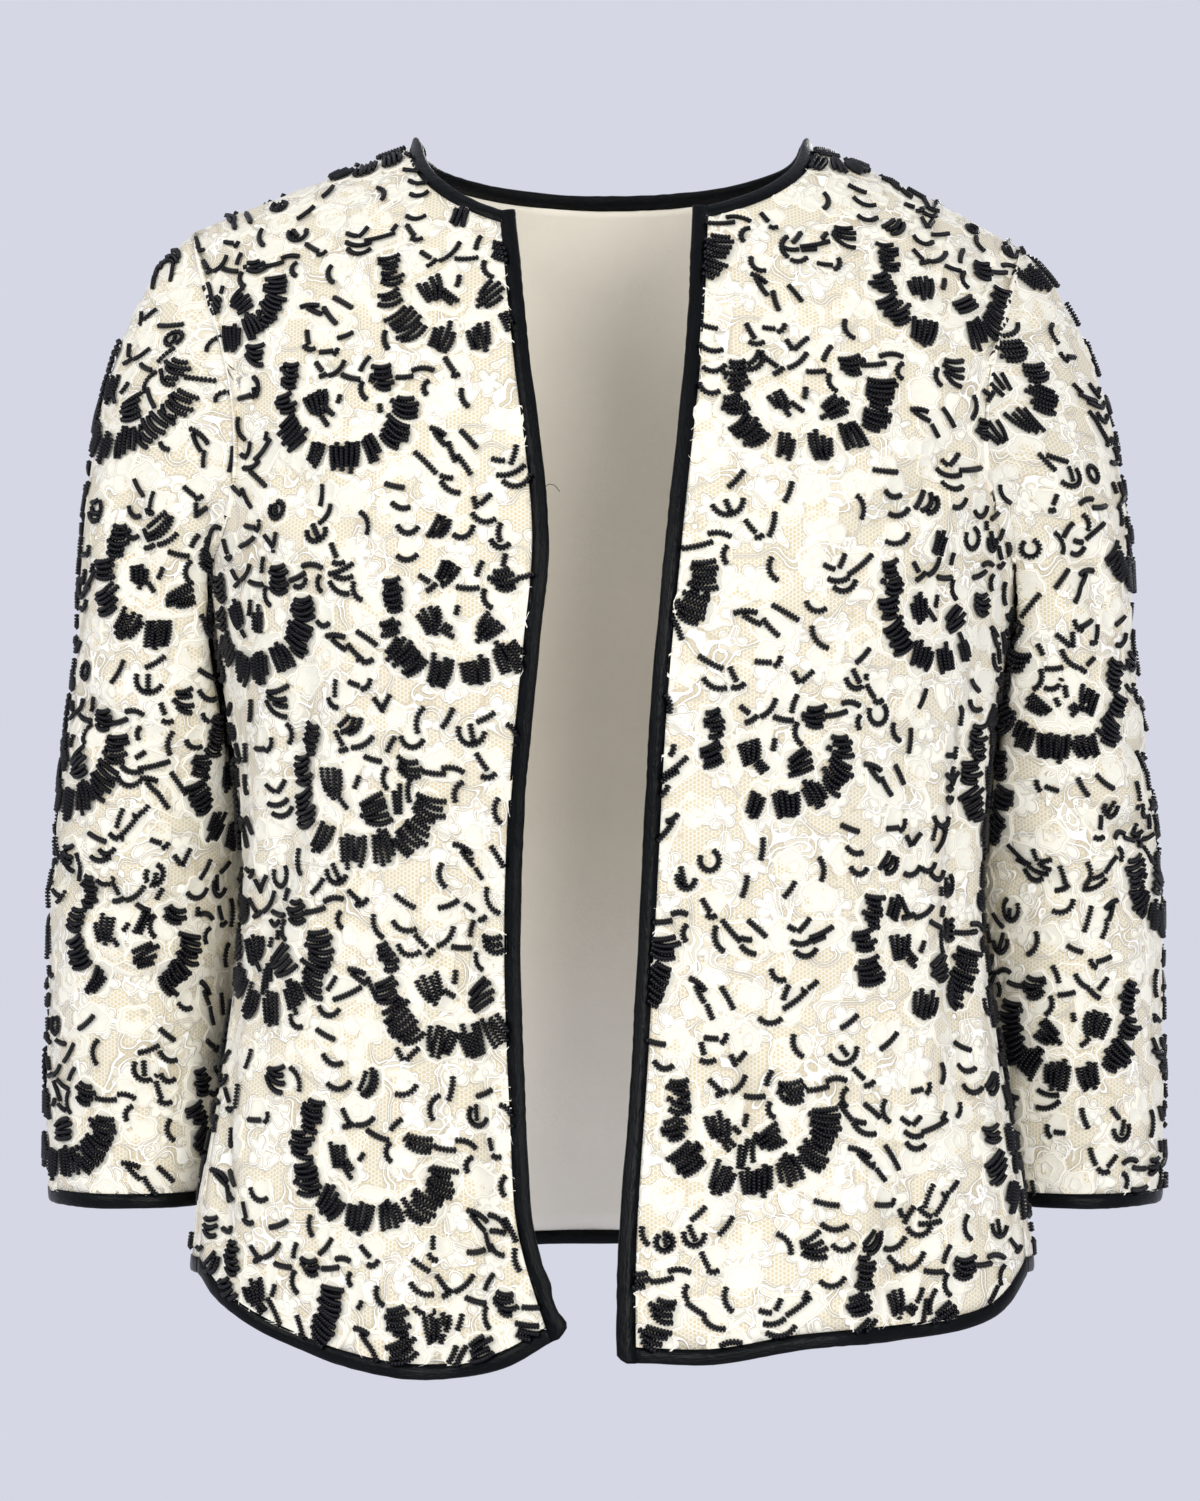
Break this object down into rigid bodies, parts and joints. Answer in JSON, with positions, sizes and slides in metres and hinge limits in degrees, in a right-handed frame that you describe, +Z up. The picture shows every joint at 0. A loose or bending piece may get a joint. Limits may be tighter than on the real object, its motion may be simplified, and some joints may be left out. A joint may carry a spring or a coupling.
{
  "type": "beaded cardigan",
  "caption": "Hip-length open-front jacket of pale corded floral lace on a plain ground, with black seed beads, three-quarter sleeves and narrow black satin binding.",
  "frame": {"origin": "middle of the neck opening, level with the points where the shoulder seams meet the neck binding", "axes": "+X to the wearer's left, -Y to the front, +Z up"},
  "size_m": [0.5096, 0.2533, 0.5364],
  "materials": {
    "lace": "corded floral lace, matt",
    "lining": "plain weave, soft",
    "satin": "satin",
    "beads": "polished black glass"
  },
  "bodies": {
    "root": {"back": "lace", "front_left": "lace", "front_right": "lace", "sleeve_left": "lace", "sleeve_right": "lace", "lining_back": "lining", "binding_neck": "satin", "binding_front_left": "satin", "binding_front_right": "satin", "binding_hem_left": "satin", "binding_hem_right": "satin", "binding_hem_back": "satin", "binding_cuff_left": "satin", "binding_cuff_right": "satin"}
  },
  "joints": []
}
